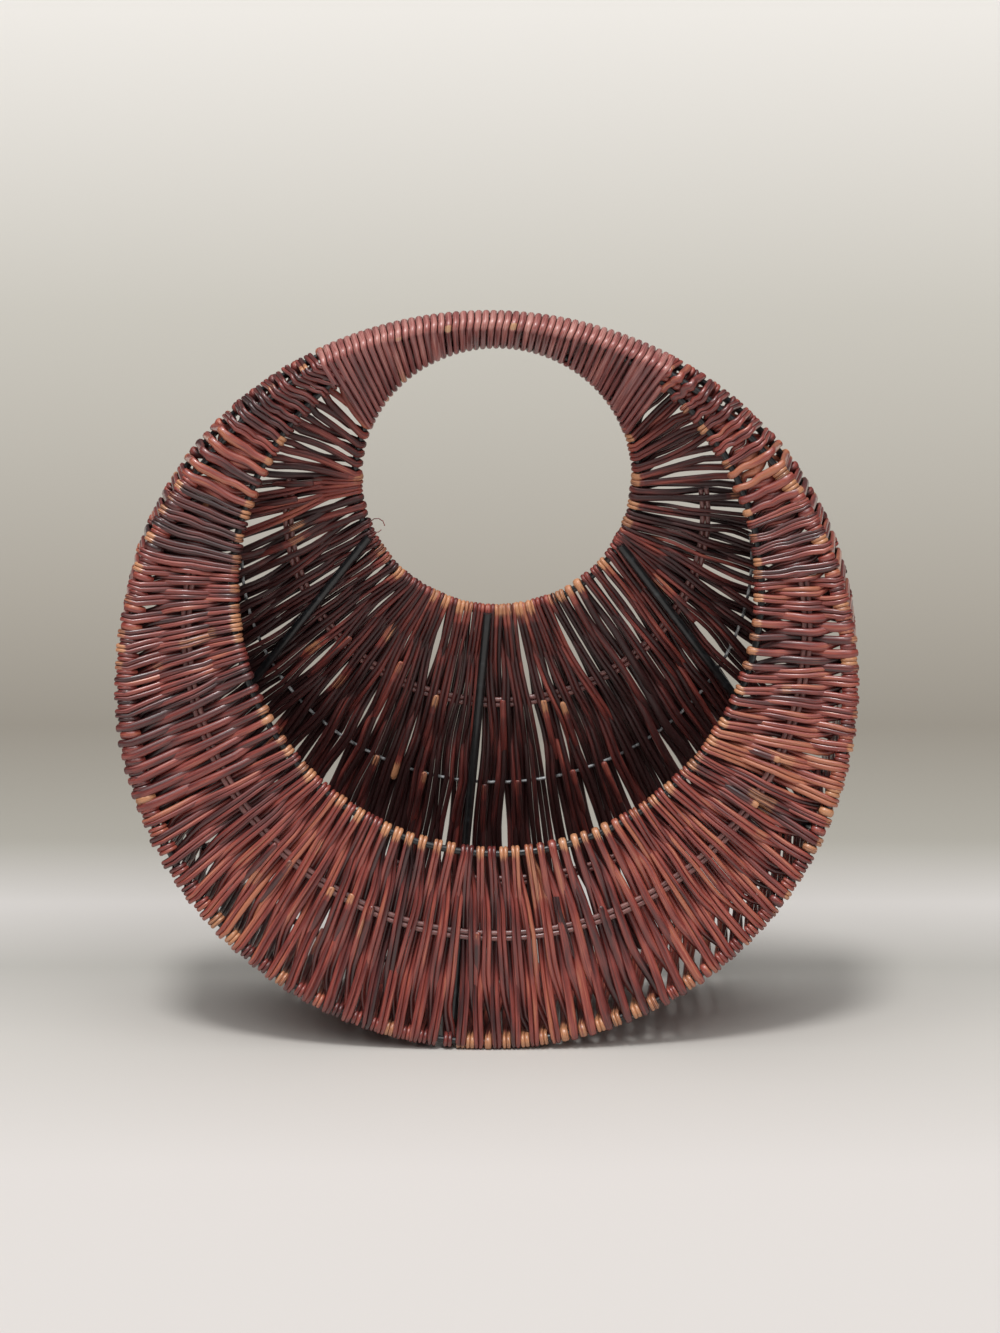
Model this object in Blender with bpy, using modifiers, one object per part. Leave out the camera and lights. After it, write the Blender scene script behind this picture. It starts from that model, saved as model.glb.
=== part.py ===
"""Wall pocket basket: four steel wire rings and three wire struts, woven over with
willow, with the tops of the rings bound together as a handle.

Metres, +Z up, front towards -Y. The basket stands on its base band at Z = 0.
"""

import math

import bmesh
import bpy
from mathutils import Vector, geometry

# Whole basket
BASE_DEPTH = 0.125
HANDLE_DEPTH = 0.010
CLEARANCE = 0.0004
FOOT_FLAT = 0.0010
INNER_SHIFT = 0.005

# Stock: steel wire, willow rods and the woven ribs
RING_WIRE_RADIUS = 0.0021
STRUT_WIRE_RADIUS = 0.0022
BRACE_WIRE_RADIUS = 0.0010
ROD_RADIUS = 0.0015
RIB_THICKNESS = 0.0024

# Rings: the mouth ring meets the top of the front ring above the front wall
FRONT_RING_RADIUS = 0.219
FRONT_WALL_HEIGHT = 0.1174
BACK_RING_EXTRA_WIDTH = 0.007
BACK_RING_EXTRA_HEIGHT = 0.0015
HAND_RING_RADIUS = 0.087
HAND_RING_DROP = 0.014

# Rods and wire that the ribs weave round, as shares of the way from the inner ring to
# the outer one at the side and at the foot, and their height as a share of their width
FRONT_ROD_SHARES = (0.472, 0.434, 1.0)
BACK_ROD_SHARES = (0.299, 0.243, 0.953)
BRACE_SHARES = (0.511, 0.4605, 0.937)
LOW_ROD_SHARES = (0.734, 0.735, 1.0)

# Angles from the foot of a ring: end of the weave, three struts, end of the weave
OUTER_STATIONS = (-150.0, -67.0, -6.0, 66.0, 147.0)
MOUTH_STATIONS = (-138.0, -58.0, -7.2, 58.0, 136.0)
HAND_STATIONS = (-112.0, -65.0, -3.7, 61.0, 110.0)

# Ribs between one station and the next, and the first and last rib that each rod meets
FRONT_RIBS = (20, 12, 14, 20)
BACK_RIBS = (8, 10, 10, 8)
FRONT_ROD_RIBS = (10, 55)
BACK_ROD_RIBS = (3, 32)
BRACE_RIBS = (5, 31)
LOW_ROD_RIBS = (7, 28)

# How the ribs lie
INNER_FILL_SHARE = 0.64
OUTER_FILL_SHARE = 0.50
RIM_WIDTH = 0.005
RIM_LIMIT_SHARE = 0.30
RIM_CLEARANCE = 0.0010
SUPPORT_MARGIN = 0.0016
STATION_MARGIN_SHARE = 0.2
BASE_FILL_SHARE = 0.8
BASE_MARGIN_SHARE = 0.08
QUARTER_NAMES = ("upper_left", "lower_left", "lower_right", "upper_right")

# Handle binding: first and last angle on the outer rings and on the hand ring
BINDING_LOOPS = 24
BINDING_SIDES = 14
BINDING_SECTION_SIDES = 6
BINDING_THICKNESS = 0.0024
BINDING_GAP = 0.0012
BINDING_CLEARANCE = 0.0007
BINDING_OUTER = (-153.2, -209.8)
BINDING_HAND = (-115.0, -247.0)
MOUTH_SEARCH = (-120.0, -240.0)
DIRECTION_DEGREES = 1.0

# Smoothness of the bent wire
OUTER_RING_STEPS = 56
MOUTH_RING_STEPS = 48
HAND_RING_STEPS = 36
ARC_STEPS = 32
STRUT_BEND_RADIUS = 0.012
STRUT_BEND_STEPS = 4
WIRE_BEVEL_STEPS = 1
STRUT_BEVEL_STEPS = 2
CROSSING_STEPS = 30
CUTTER_OVERRUN = 0.02

WIRE_FINISH = ((0.012, 0.013, 0.016, 1.0), 0.35, 0.6)
ROD_FINISH = ((0.150, 0.050, 0.040, 1.0), 0.45, 0.0)
RIB_FINISH = ((0.130, 0.032, 0.026, 1.0), 0.42, 0.0)
BASE_FINISH = ((0.110, 0.028, 0.024, 1.0), 0.45, 0.0)
BINDING_FINISH = ((0.170, 0.048, 0.040, 1.0), 0.32, 0.0)

RING_SEAT = RING_WIRE_RADIUS + CLEARANCE
STRUT_SEAT = RING_SEAT + STRUT_WIRE_RADIUS
BASE_SEAT = RING_SEAT + RIB_THICKNESS / 2
BASE_OVERHANG = RING_WIRE_RADIUS + RIB_THICKNESS
RIM_SEAT = RING_WIRE_RADIUS + RIM_CLEARANCE
MOUTH_RING_INSET = 2 * RING_WIRE_RADIUS + CLEARANCE


class Side:
    """The front or back of the basket: a flat sheet that leans in towards the handle."""

    def __init__(self, facing, height):
        self.facing = facing
        self.sine = (BASE_DEPTH - HANDLE_DEPTH) / 2 / height
        self.cosine = math.sqrt(1 - self.sine**2)

    def point(self, x, rise, out):
        """A place by its height up the sheet and its distance out of the basket."""
        y = BASE_DEPTH / 2 - rise * self.sine + out * self.cosine
        z = RING_REST + rise * self.cosine + out * self.sine
        return Vector((x, self.facing * y, z))


class Ring:
    """A ring, or part of one, bent from wire or rod in one side of the basket."""

    def __init__(self, side, half_width, half_height, centre_rise, centre_x, inset=0.0):
        self.side = side
        self.half_width = half_width
        self.half_height = half_height
        self.centre_rise = centre_rise
        self.centre_x = centre_x
        self.inset = inset

    def place(self, degrees, grow=0.0, out=0.0):
        """x, rise and out at an angle from the foot of the ring."""
        angle = math.radians(degrees)
        x = self.centre_x + (self.half_width + grow) * math.sin(angle)
        rise = self.centre_rise - (self.half_height + grow) * math.cos(angle)
        height = (1 - math.cos(angle)) / 2
        return Vector((x, rise, out - self.inset * height**2))

    def point(self, degrees, grow=0.0, out=0.0):
        return self.side.point(*self.place(degrees, grow, out))

    def outside(self, place):
        """Above zero where a place on the sheet lies outside the ring."""
        across = (place.x - self.centre_x) / self.half_width
        up = (place.y - self.centre_rise) / self.half_height
        return across**2 + up**2 - 1

    def angle_of(self, place):
        across = (place.x - self.centre_x) / self.half_width
        up = (self.centre_rise - place.y) / self.half_height
        return math.degrees(math.atan2(across, up))


class Support:
    """Rods or wire that a run of ribs passes in front of and behind by turns."""

    def __init__(self, ring, ribs, radius, half_span):
        self.ring = ring
        self.ribs = ribs
        self.radius = radius
        self.lift = radius + CLEARANCE + RIB_THICKNESS / 2
        self.reach = half_span + SUPPORT_MARGIN
        self.turns = ()
        self.span = ()


# The foot of the base band is cut flat at Z = 0
FRONT_LEAN = (BASE_DEPTH - HANDLE_DEPTH) / 2 / (2 * FRONT_RING_RADIUS)
BASE_BELOW = BASE_SEAT * math.sqrt(1 - FRONT_LEAN**2) + RIB_THICKNESS / 2
RING_REST = BASE_BELOW - FOOT_FLAT

BACK_RING_HALF_WIDTH = FRONT_RING_RADIUS + BACK_RING_EXTRA_WIDTH
BACK_RING_HALF_HEIGHT = FRONT_RING_RADIUS + BACK_RING_EXTRA_HEIGHT
MOUTH_RING_RADIUS = FRONT_RING_RADIUS - FRONT_WALL_HEIGHT / 2
HAND_RING_RISE = 2 * BACK_RING_HALF_HEIGHT - HAND_RING_DROP - HAND_RING_RADIUS

FRONT = Side(-1, 2 * FRONT_RING_RADIUS)
BACK = Side(1, 2 * BACK_RING_HALF_HEIGHT)
FRONT_RING = Ring(FRONT, FRONT_RING_RADIUS, FRONT_RING_RADIUS, FRONT_RING_RADIUS, 0.0)
BACK_RING = Ring(
    BACK, BACK_RING_HALF_WIDTH, BACK_RING_HALF_HEIGHT, BACK_RING_HALF_HEIGHT, 0.0
)
MOUTH_RING = Ring(
    FRONT,
    MOUTH_RING_RADIUS,
    MOUTH_RING_RADIUS,
    FRONT_WALL_HEIGHT + MOUTH_RING_RADIUS,
    INNER_SHIFT,
    MOUTH_RING_INSET,
)
HAND_RING = Ring(BACK, HAND_RING_RADIUS, HAND_RING_RADIUS, HAND_RING_RISE, INNER_SHIFT)


def ring_between(inner, outer, shares, inset=0.0):
    """A ring that lies part of the way from an inner ring to an outer one."""
    side_share, foot_share, height_share = shares
    half_width = inner.half_width + (outer.half_width - inner.half_width) * side_share
    half_height = half_width * height_share
    inner_foot = inner.centre_rise - inner.half_height
    centre_rise = inner_foot * (1 - foot_share) + half_height
    return Ring(inner.side, half_width, half_height, centre_rise, inner.centre_x, inset)


FRONT_ROD = ring_between(MOUTH_RING, FRONT_RING, FRONT_ROD_SHARES, MOUTH_RING_INSET / 2)
BACK_ROD = ring_between(HAND_RING, BACK_RING, BACK_ROD_SHARES)
BRACE = ring_between(HAND_RING, BACK_RING, BRACE_SHARES)
LOW_ROD = ring_between(HAND_RING, BACK_RING, LOW_ROD_SHARES)


def start_collection(name):
    collection = bpy.data.collections.new(name)
    bpy.context.scene.collection.children.link(collection)
    return collection


def finish_material(name, finish):
    colour, roughness, metallic = finish
    material = bpy.data.materials.new(name)
    material.use_nodes = True
    shader = material.node_tree.nodes["Principled BSDF"]
    shader.inputs["Base Color"].default_value = colour
    shader.inputs["Roughness"].default_value = roughness
    shader.inputs["Metallic"].default_value = metallic
    material.diffuse_color = colour
    return material


def add_object(name, data, finish):
    data.materials.append(finish_material(name + "_finish", finish))
    piece = bpy.data.objects.new(name, data)
    PARTS.objects.link(piece)
    return piece


def bent_stock(name, points, radius, finish, closed=False, rounding=WIRE_BEVEL_STEPS):
    """Round wire or rod bent through the points."""
    curve = bpy.data.curves.new(name, "CURVE")
    curve.dimensions = "3D"
    curve.bevel_depth = radius
    curve.bevel_resolution = rounding
    curve.use_fill_caps = not closed
    spline = curve.splines.new("POLY")
    spline.points.add(len(points) - 1)
    for spot, point in zip(spline.points, points):
        spot.co = (*point, 1.0)
    spline.use_cyclic_u = closed
    return add_object(name, curve, finish)


def whole_ring(name, ring, steps):
    points = [ring.point(360 * step / steps) for step in range(steps)]
    bent_stock(name, points, RING_WIRE_RADIUS, WIRE_FINISH, closed=True)


def part_ring(name, support, finish, grow=0.0):
    first, last = support.span
    points = [
        support.ring.point(first + (last - first) * step / ARC_STEPS, grow)
        for step in range(ARC_STEPS + 1)
    ]
    bent_stock(name, points, support.radius, finish)


def rod_pair(name, support):
    """Two willow rods that lie side by side in the weave."""
    offset = ROD_RADIUS + CLEARANCE / 2
    part_ring(name + "_inner", support, ROD_FINISH, -offset)
    part_ring(name + "_outer", support, ROD_FINISH, offset)


def eased_bend(before, corner, after):
    """Points of a bend that replaces a sharp corner."""
    first = corner + (before - corner).normalized() * STRUT_BEND_RADIUS
    last = corner + (after - corner).normalized() * STRUT_BEND_RADIUS
    bend = []
    for step in range(STRUT_BEND_STEPS + 1):
        share = step / STRUT_BEND_STEPS
        bend.append(first.lerp(corner, share).lerp(corner.lerp(last, share), share))
    return bend


def strut(name, station):
    """A wire from the hand ring down the back, across the base and up to the mouth."""
    outer = OUTER_STATIONS[station]
    top_back = HAND_RING.point(HAND_STATIONS[station], out=-STRUT_SEAT)
    low_back = BACK_RING.point(outer, -STRUT_SEAT, -STRUT_SEAT)
    low_front = FRONT_RING.point(outer, -STRUT_SEAT, -STRUT_SEAT)
    top_front = MOUTH_RING.point(MOUTH_STATIONS[station], out=-STRUT_SEAT)
    points = [
        top_back,
        *eased_bend(top_back, low_back, low_front),
        *eased_bend(low_back, low_front, top_front),
        top_front,
    ]
    bent_stock(name, points, STRUT_WIRE_RADIUS, WIRE_FINISH, rounding=STRUT_BEVEL_STEPS)


def between(stations, turn):
    """The angle at a turn, where whole turns are the stations."""
    quarter = min(int(turn), len(stations) - 2)
    share = turn - quarter
    return stations[quarter] * (1 - share) + stations[quarter + 1] * share


def gap_turn(ribs, number):
    """The turn of the gap before a rib, which is numbered from the weave's first rib."""
    quarter = 0
    while number > ribs[quarter]:
        number -= ribs[quarter]
        quarter += 1
    pitch = 1 / (ribs[quarter] + 2 * STATION_MARGIN_SHARE)
    return quarter + (STATION_MARGIN_SHARE + number) * pitch


class Panel:
    """The weave between an inner and an outer ring of one side."""

    margin = STATION_MARGIN_SHARE
    fill = (INNER_FILL_SHARE, OUTER_FILL_SHARE)

    def __init__(self, inner, inner_stations, outer, ribs, supports):
        self.side = inner.side
        self.inner = inner
        self.inner_stations = inner_stations
        self.outer = outer
        self.ribs = ribs
        self.supports = supports
        for support in supports:
            self.set_span(support)

    def set_span(self, support):
        """Start and end a support in the gaps beside the first and last rib it meets."""
        first, last = support.ribs
        gaps = [gap_turn(self.ribs, number) for number in range(first, last + 2)]
        met = [turn for turn in gaps if self.crossing(support, turn) is not None]
        support.turns = (met[0], met[-1])
        for turn in support.turns:
            start, end = self.ends(turn)
            place = start.lerp(end, self.crossing(support, turn))
            support.span = (*support.span, support.ring.angle_of(place))

    def ends(self, turn):
        first = self.inner.place(between(self.inner_stations, turn), RIM_SEAT)
        last = self.outer.place(between(OUTER_STATIONS, turn), -RIM_SEAT)
        return first, last

    def crossing(self, support, turn):
        """How far along the rib it crosses a support, or None where it has no room to."""
        first, last = self.ends(turn)
        room = (RIM_WIDTH + support.reach) / (last - first).length
        low, high = room, 1 - room
        if support.ring.outside(first.lerp(last, low)) > 0:
            return None
        if support.ring.outside(first.lerp(last, high)) < 0:
            return None
        for _ in range(CROSSING_STEPS):
            middle = (low + high) / 2
            if support.ring.outside(first.lerp(last, middle)) < 0:
                low = middle
            else:
                high = middle
        return low

    def crossed(self, turn):
        """The supports that a rib passes, from the inner ring outwards."""
        return [
            support for support in self.supports if support.turns[0] < turn < support.turns[1]
        ]

    def rows(self, turn, crossed, lifted):
        """Points down one edge of a rib, with its rim at both ends."""
        first, last = self.ends(turn)
        length = (last - first).length
        rim = min(RIM_WIDTH / length, RIM_LIMIT_SHARE)
        rows = [(0.0, 0.0), (rim, 0.0)]
        for support in crossed:
            share = self.crossing(support, turn)
            reach = support.reach / length
            rows += [(share + way * reach, lifted * support.lift) for way in (-1, 1)]
            lifted = -lifted
        rows += [(1 - rim, 0.0), (1.0, 0.0)]
        return rows

    def surface(self, turn, share, lift):
        first, last = self.ends(turn)
        x, rise, out = first.lerp(last, share)
        return self.side.point(x, rise, out + lift)


class BaseBand:
    """The weave round the rim, from the front ring to the back ring."""

    ribs = FRONT_RIBS
    margin = BASE_MARGIN_SHARE
    fill = (BASE_FILL_SHARE, BASE_FILL_SHARE)

    def crossed(self, turn):
        return []

    def rows(self, turn, crossed, lifted):
        length = (self.surface(turn, 1.0, 0.0) - self.surface(turn, 0.0, 0.0)).length
        rim = min(RIM_WIDTH / length, RIM_LIMIT_SHARE)
        return [(0.0, 0.0), (rim, 0.0), (1 - rim, 0.0), (1.0, 0.0)]

    def surface(self, turn, share, lift):
        degrees = between(OUTER_STATIONS, turn)
        front = FRONT_RING.point(degrees, BASE_SEAT)
        back = BACK_RING.point(degrees, BASE_SEAT)
        overhang = (back - front).normalized() * BASE_OVERHANG
        return (front - overhang).lerp(back + overhang, share)


def woven_quarter(name, weave, quarter, finish):
    """One quarter of a weave: ribs joined by a rim along each ring."""
    mesh = bmesh.new()
    before = sum(weave.ribs[:quarter])
    pitch = 1 / (weave.ribs[quarter] + 2 * weave.margin)
    inner_fill, outer_fill = weave.fill
    last_edge = None
    for rib in range(weave.ribs[quarter]):
        centre = quarter + (weave.margin + rib + 0.5) * pitch
        crossed = weave.crossed(centre)
        lifted = 1 if (before + rib) % 2 else -1
        edges = []
        for way in (-1, 1):
            edge = []
            for share, lift in weave.rows(centre, crossed, lifted):
                fill = inner_fill * (1 - share) + outer_fill * share
                turn = centre + way * fill * pitch / 2
                edge.append((turn, share, lift))
            edges.append(edge)
        if crossed:
            edges = [fitted_edge(weave, edge, crossed, lifted) for edge in edges]
        left, right = [
            [mesh.verts.new(weave.surface(*row)) for row in edge] for edge in edges
        ]
        for row in range(len(left) - 1):
            mesh.faces.new((left[row], left[row + 1], right[row + 1], right[row]))
        if last_edge:
            for row, other in ((0, 0), (len(left) - 2, len(last_edge) - 2)):
                mesh.faces.new(
                    (
                        last_edge[other],
                        last_edge[other + 1],
                        left[row + 1],
                        left[row],
                    )
                )
        last_edge = right
    bmesh.ops.recalc_face_normals(mesh, faces=mesh.faces)
    data = bpy.data.meshes.new(name)
    mesh.to_mesh(data)
    mesh.free()
    piece = add_object(name, data, finish)
    shell = piece.modifiers.new("thickness", "SOLIDIFY")
    shell.thickness = RIB_THICKNESS
    shell.offset = 0.0
    return piece


def fitted_edge(weave, edge, crossed, lifted):
    """The edge of a rib with its rows moved to where that edge meets each support."""
    fitted = edge[:2]
    for number, support in enumerate(crossed):
        turn = (edge[2 * number + 2][0] + edge[2 * number + 3][0]) / 2
        rows = weave.rows(turn, [support], lifted)
        fitted += [(turn, share, edge[2 * number + 2][2]) for share, _ in rows[2:4]]
    return fitted + edge[-2:]


def flatten_foot(piece, cutter):
    cut = piece.modifiers.new("foot", "BOOLEAN")
    cut.operation = "DIFFERENCE"
    cut.object = cutter


def foot_cutter():
    """A block whose top face is the floor."""
    bpy.ops.mesh.primitive_cube_add(size=1.0)
    cutter = bpy.context.object
    cutter.name = "floor_cutter"
    depth = BASE_DEPTH + 2 * CUTTER_OVERRUN
    cutter.dimensions = (FRONT_RING_RADIUS, depth, CUTTER_OVERRUN)
    cutter.location.z = -CUTTER_OVERRUN / 2
    cutter.hide_render = True
    cutter.display_type = "WIRE"
    for collection in cutter.users_collection:
        collection.objects.unlink(cutter)
    CUTTERS.objects.link(cutter)
    return cutter


def mouth_degrees(hand, outer):
    """The angle at which the mouth ring passes between the hand ring and the front ring."""
    low, high = MOUTH_SEARCH
    reach = outer - hand
    for _ in range(CROSSING_STEPS):
        middle = (low + high) / 2
        place = MOUTH_RING.point(middle) - hand
        if reach.x * place.z > reach.z * place.x:
            low = middle
        else:
            high = middle
    return middle


def bound_wires(share):
    """Centre and direction of each bound wire at a place along the handle."""
    outer, hand = [
        first + (last - first) * share for first, last in (BINDING_OUTER, BINDING_HAND)
    ]
    mouth = mouth_degrees(HAND_RING.point(hand), FRONT_RING.point(outer))
    wires = []
    for ring, degrees in (
        (BACK_RING, outer),
        (FRONT_RING, outer),
        (MOUTH_RING, mouth),
        (HAND_RING, hand),
    ):
        ahead = ring.point(degrees - DIRECTION_DEGREES) - ring.point(degrees + DIRECTION_DEGREES)
        wires.append((ring.point(degrees), ahead.normalized()))
    return wires


def binding_place(share, turn):
    """Where the cane lies: its middle, the way it faces and the way the handle runs."""
    wires = bound_wires(share)
    back, front, mouth, hand = [centre for centre, _ in wires]
    up = (front - hand).normalized()
    level = Vector((0.0, -1.0, 0.0))
    forward = (level - up * level.dot(up)).normalized()
    outward = forward * math.cos(turn) + up * math.sin(turn)
    centre, along = max(wires, key=lambda wire: wire[0].dot(outward))
    outward = (outward - along * along.dot(outward)).normalized()
    seat = RING_WIRE_RADIUS + BINDING_CLEARANCE + BINDING_THICKNESS / 2
    return centre + outward * seat, outward, along


def gap_to(point, line):
    """Distance from a point to a bent line."""
    gaps = []
    for start, end in zip(line, line[1:]):
        _, share = geometry.intersect_point_line(point, start, end)
        gaps.append((point - start.lerp(end, min(max(share, 0.0), 1.0))).length)
    return min(gaps)


def binding():
    """The handle's winding: one flat cane laid round the four wires in close loops."""
    steps = BINDING_LOOPS * BINDING_SIDES
    track = [
        binding_place(step / steps, math.tau * step / BINDING_SIDES)
        for step in range(steps + 1)
    ]
    turns = [math.tau * corner / BINDING_SECTION_SIDES for corner in range(BINDING_SECTION_SIDES)]
    outline = [(math.cos(turn), math.sin(turn)) for turn in turns]
    mesh = bmesh.new()
    sections = []
    edges = []
    for step, (middle, outward, along) in enumerate(track):
        beside = [
            track[near][0] - middle
            for near in (step - BINDING_SIDES, step + BINDING_SIDES)
            if 0 <= near <= steps
        ]
        pitch = min(abs(away.dot(along)) for away in beside)
        side = along * (pitch - BINDING_GAP) / 2
        back = outward * BINDING_THICKNESS / 2
        sections.append(
            [mesh.verts.new(middle + side * wide + back * thick) for wide, thick in outline]
        )
        edges.append((middle - side, middle + side))
    for first, second in zip(sections, sections[1:]):
        for corner in range(BINDING_SECTION_SIDES):
            following = (corner + 1) % BINDING_SECTION_SIDES
            mesh.faces.new(
                (first[corner], first[following], second[following], second[corner])
            )
    mesh.faces.new(sections[0])
    mesh.faces.new(sections[-1])
    bmesh.ops.recalc_face_normals(mesh, faces=mesh.faces)
    data = bpy.data.meshes.new("handle_binding")
    mesh.to_mesh(data)
    mesh.free()
    add_object("handle_binding", data, BINDING_FINISH)
    nearer = [first for first, _ in edges]
    least = min(
        gap_to(edges[step][1], nearer[step + BINDING_SIDES - 1 : step + BINDING_SIDES + 2])
        for step in range(steps + 1 - BINDING_SIDES)
    )
    print(f"handle_binding: least gap between loops {least:.5f} m")


for old in list(bpy.data.objects):
    bpy.data.objects.remove(old, do_unlink=True)
PARTS = start_collection("wall_pocket_basket")
CUTTERS = start_collection("cutters")

whole_ring("back_outer_ring", BACK_RING, OUTER_RING_STEPS)
whole_ring("front_outer_ring", FRONT_RING, OUTER_RING_STEPS)
whole_ring("mouth_ring", MOUTH_RING, MOUTH_RING_STEPS)
whole_ring("hand_ring", HAND_RING, HAND_RING_STEPS)
for strut_name, place in (("left", 1), ("centre", 2), ("right", 3)):
    strut("strut_" + strut_name, place)

PAIR_HALF = 2 * ROD_RADIUS + CLEARANCE / 2
FRONT_RODS = Support(FRONT_ROD, FRONT_ROD_RIBS, ROD_RADIUS, PAIR_HALF)
BACK_RODS = Support(BACK_ROD, BACK_ROD_RIBS, ROD_RADIUS, PAIR_HALF)
BRACE_WIRE = Support(BRACE, BRACE_RIBS, BRACE_WIRE_RADIUS, BRACE_WIRE_RADIUS)
LOW_RODS = Support(LOW_ROD, LOW_ROD_RIBS, ROD_RADIUS, PAIR_HALF)
FRONT_WEAVE = Panel(MOUTH_RING, MOUTH_STATIONS, FRONT_RING, FRONT_RIBS, [FRONT_RODS])
BACK_WEAVE = Panel(
    HAND_RING, HAND_STATIONS, BACK_RING, BACK_RIBS, [BACK_RODS, BRACE_WIRE, LOW_RODS]
)
part_ring("back_brace_wire", BRACE_WIRE, WIRE_FINISH)
rod_pair("front_rod", FRONT_RODS)
rod_pair("back_rod", BACK_RODS)
rod_pair("back_low_rod", LOW_RODS)

floor = foot_cutter()
for index, quarter_name in enumerate(QUARTER_NAMES):
    woven_quarter("front_weave_" + quarter_name, FRONT_WEAVE, index, RIB_FINISH)
    woven_quarter("back_weave_" + quarter_name, BACK_WEAVE, index, RIB_FINISH)
    band = woven_quarter("base_weave_" + quarter_name, BaseBand(), index, BASE_FINISH)
    if quarter_name.startswith("lower"):
        flatten_foot(band, floor)
binding()
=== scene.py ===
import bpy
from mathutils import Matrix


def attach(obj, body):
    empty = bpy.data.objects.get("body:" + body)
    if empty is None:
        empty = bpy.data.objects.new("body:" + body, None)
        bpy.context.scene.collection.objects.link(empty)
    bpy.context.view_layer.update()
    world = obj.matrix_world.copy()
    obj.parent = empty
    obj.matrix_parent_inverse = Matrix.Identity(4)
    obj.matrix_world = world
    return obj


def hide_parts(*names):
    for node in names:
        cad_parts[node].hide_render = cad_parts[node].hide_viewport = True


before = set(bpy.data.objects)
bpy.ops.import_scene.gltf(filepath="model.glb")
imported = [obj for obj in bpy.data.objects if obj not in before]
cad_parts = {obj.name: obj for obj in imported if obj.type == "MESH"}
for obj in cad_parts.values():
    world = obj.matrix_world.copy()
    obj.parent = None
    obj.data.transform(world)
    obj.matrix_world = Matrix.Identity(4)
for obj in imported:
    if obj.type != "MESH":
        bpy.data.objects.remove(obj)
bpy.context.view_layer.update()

import copy
import math
import random

import bmesh
import bpy
from mathutils import Vector

# The weaver's hand: all unevenness in the willow comes from this one seeded source
HAND = random.Random(41)
MILLIMETRES = 1000

# The shape that the solids have, in metres: front and back are flat sheets that lean in
BASE_DEPTH = 0.125
HANDLE_DEPTH = 0.010
FOOT_HEIGHT = 0.00387
INNER_SHIFT = 0.005
FRONT_RADIUS = 0.219
BACK_HALF_WIDTH = 0.226
BACK_HALF_HEIGHT = 0.2205
MOUTH_RADIUS = 0.1603
MOUTH_RISE = 0.2777
MOUTH_INSET = 0.0046
HAND_RADIUS = 0.087
HAND_RISE = 0.340

# Stock, as half sizes in metres, and how far from their middle willow lies on wire and rods
RING_WIRE = 0.0021
STRUT_WIRE = 0.00275
STRUT_SEAT = 0.0047
STRUT_BEND = 0.012
BEND_STEPS = 8
BRACE_WIRE = 0.0010
ROD = 0.0015
ROD_OFFSET = 0.0017
ROD_FULLNESS = 1.12
STRAND_THICKNESS = 0.0011
RING_WRAP = RING_WIRE + STRAND_THICKNESS
ROD_LIFT = ROD + STRAND_THICKNESS
BRACE_LIFT = BRACE_WIRE + STRAND_THICKNESS

# Half the width of one strand of a pair, in the front, the back and the band between them
FRONT_GAUGE = 0.00132
BACK_GAUGE = 0.00134
BAND_GAUGE = 0.00132

# How strands lie: rolled between crossings, close together at the inner ring, and spread
# half way over the band where it is wide, though never thicker than this share
ROLL = math.radians(14)
INNER_SQUEEZE = 0.92
BAND_SPREAD = 0.4
BAND_ROOM = (0.02, BASE_DEPTH / 2)
THICKEST = 1.15

# Painted shade: darker behind what a strand crosses, and deep in the pocket. The pairs
# for the inner and outer ring give how much shade is painted below the mouth, and how much
# less it is beside the mouth, which is reached between these turns. Splay and the painted
# pocket shade are full at these shares of a leg.
PAINTED_SHADE_BEHIND = 0.40
POCKET_SHADE = ((0.65, 0.35), (1.15, 0.40))
BESIDE_MOUTH = (50.0, 100.0)
FULL_POCKET_SHADE = 0.7
FULL_SPLAY = 0.8

# Degrees round the rings from their foot, at which the struts meet them
OUTER_STRUTS = (-67.0, -6.0, 66.0)
MOUTH_STRUTS = (-58.0, -7.2, 58.0)
HAND_STRUTS = (-65.0, -3.7, 61.0)

# Degrees at which a leg leaves the inner ring and reaches the outer one
FRONT_FAN = (
    (-144, -151.5), (-135, -145.5), (-126, -139.3), (-113, -128.7), (-99, -116.5),
    (-84.5, -98.8), (-71, -83.5), (-53, -69), (-43, -54), (-36.5, -44), (-31.5, -37),
    (-25.3, -27), (-19, -19.3), (-12.7, -14.5), (-6.9, -9), (-6.3, -4.8), (-0.7, 1.8),
    (6.8, 10.5), (14.3, 19), (18, 23.5), (25, 33), (38, 50.5), (60, 80.7), (72.8, 92.7),
    (87, 102.5), (98.8, 115.3), (113.5, 127.8), (131.5, 142), (144, 151),
)
BACK_FAN = (
    (-114.5, -154.5), (-108, -148), (-100, -140.5), (-92, -134), (-89, -119), (-85, -108.5),
    (-75, -96), (-60, -83), (-45, -71), (-35, -56), (-27, -36), (-20, -25), (-10, -14),
    (-4.4, -7.5), (-3.0, -3.5), (5, 8), (12, 21), (17, 31), (27, 43), (45, 55), (60, 64),
    (62, 68), (64.5, 86), (68, 98), (80, 112), (88, 124), (92, 133), (100, 139.5),
    (107, 146), (113.5, 152.5),
)

# The quarters of the weave: their names, and in each sheet their ends and how many
# elements they hold, an element being a pair of strands, a wide one or three thin ones
QUARTERS = ("upper_left", "lower_left", "lower_right", "upper_right")
FRONT_ENDS = (-149.6, -62.0, -6.75, 61.0, 148.4)
FRONT_COUNTS = (37, 19, 24, 33)
BACK_ENDS = (-135.2, -67.0, -4.5, 63.6, 133.6)
BACK_COUNTS = (17, 17, 18, 17)

# Chances that a run of elements is of pairs, of wide strands or of threes
FRONT_KINDS = (0.66, 0.26, 0.08)
BACK_KINDS = (0.60, 0.40, 0.0)

# Past this many degrees from the foot the front's own strands run on over the band, and
# meet the back ring a little lower down
OVER_BAND = 126.0
BAND_LEAN = 0.8

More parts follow.
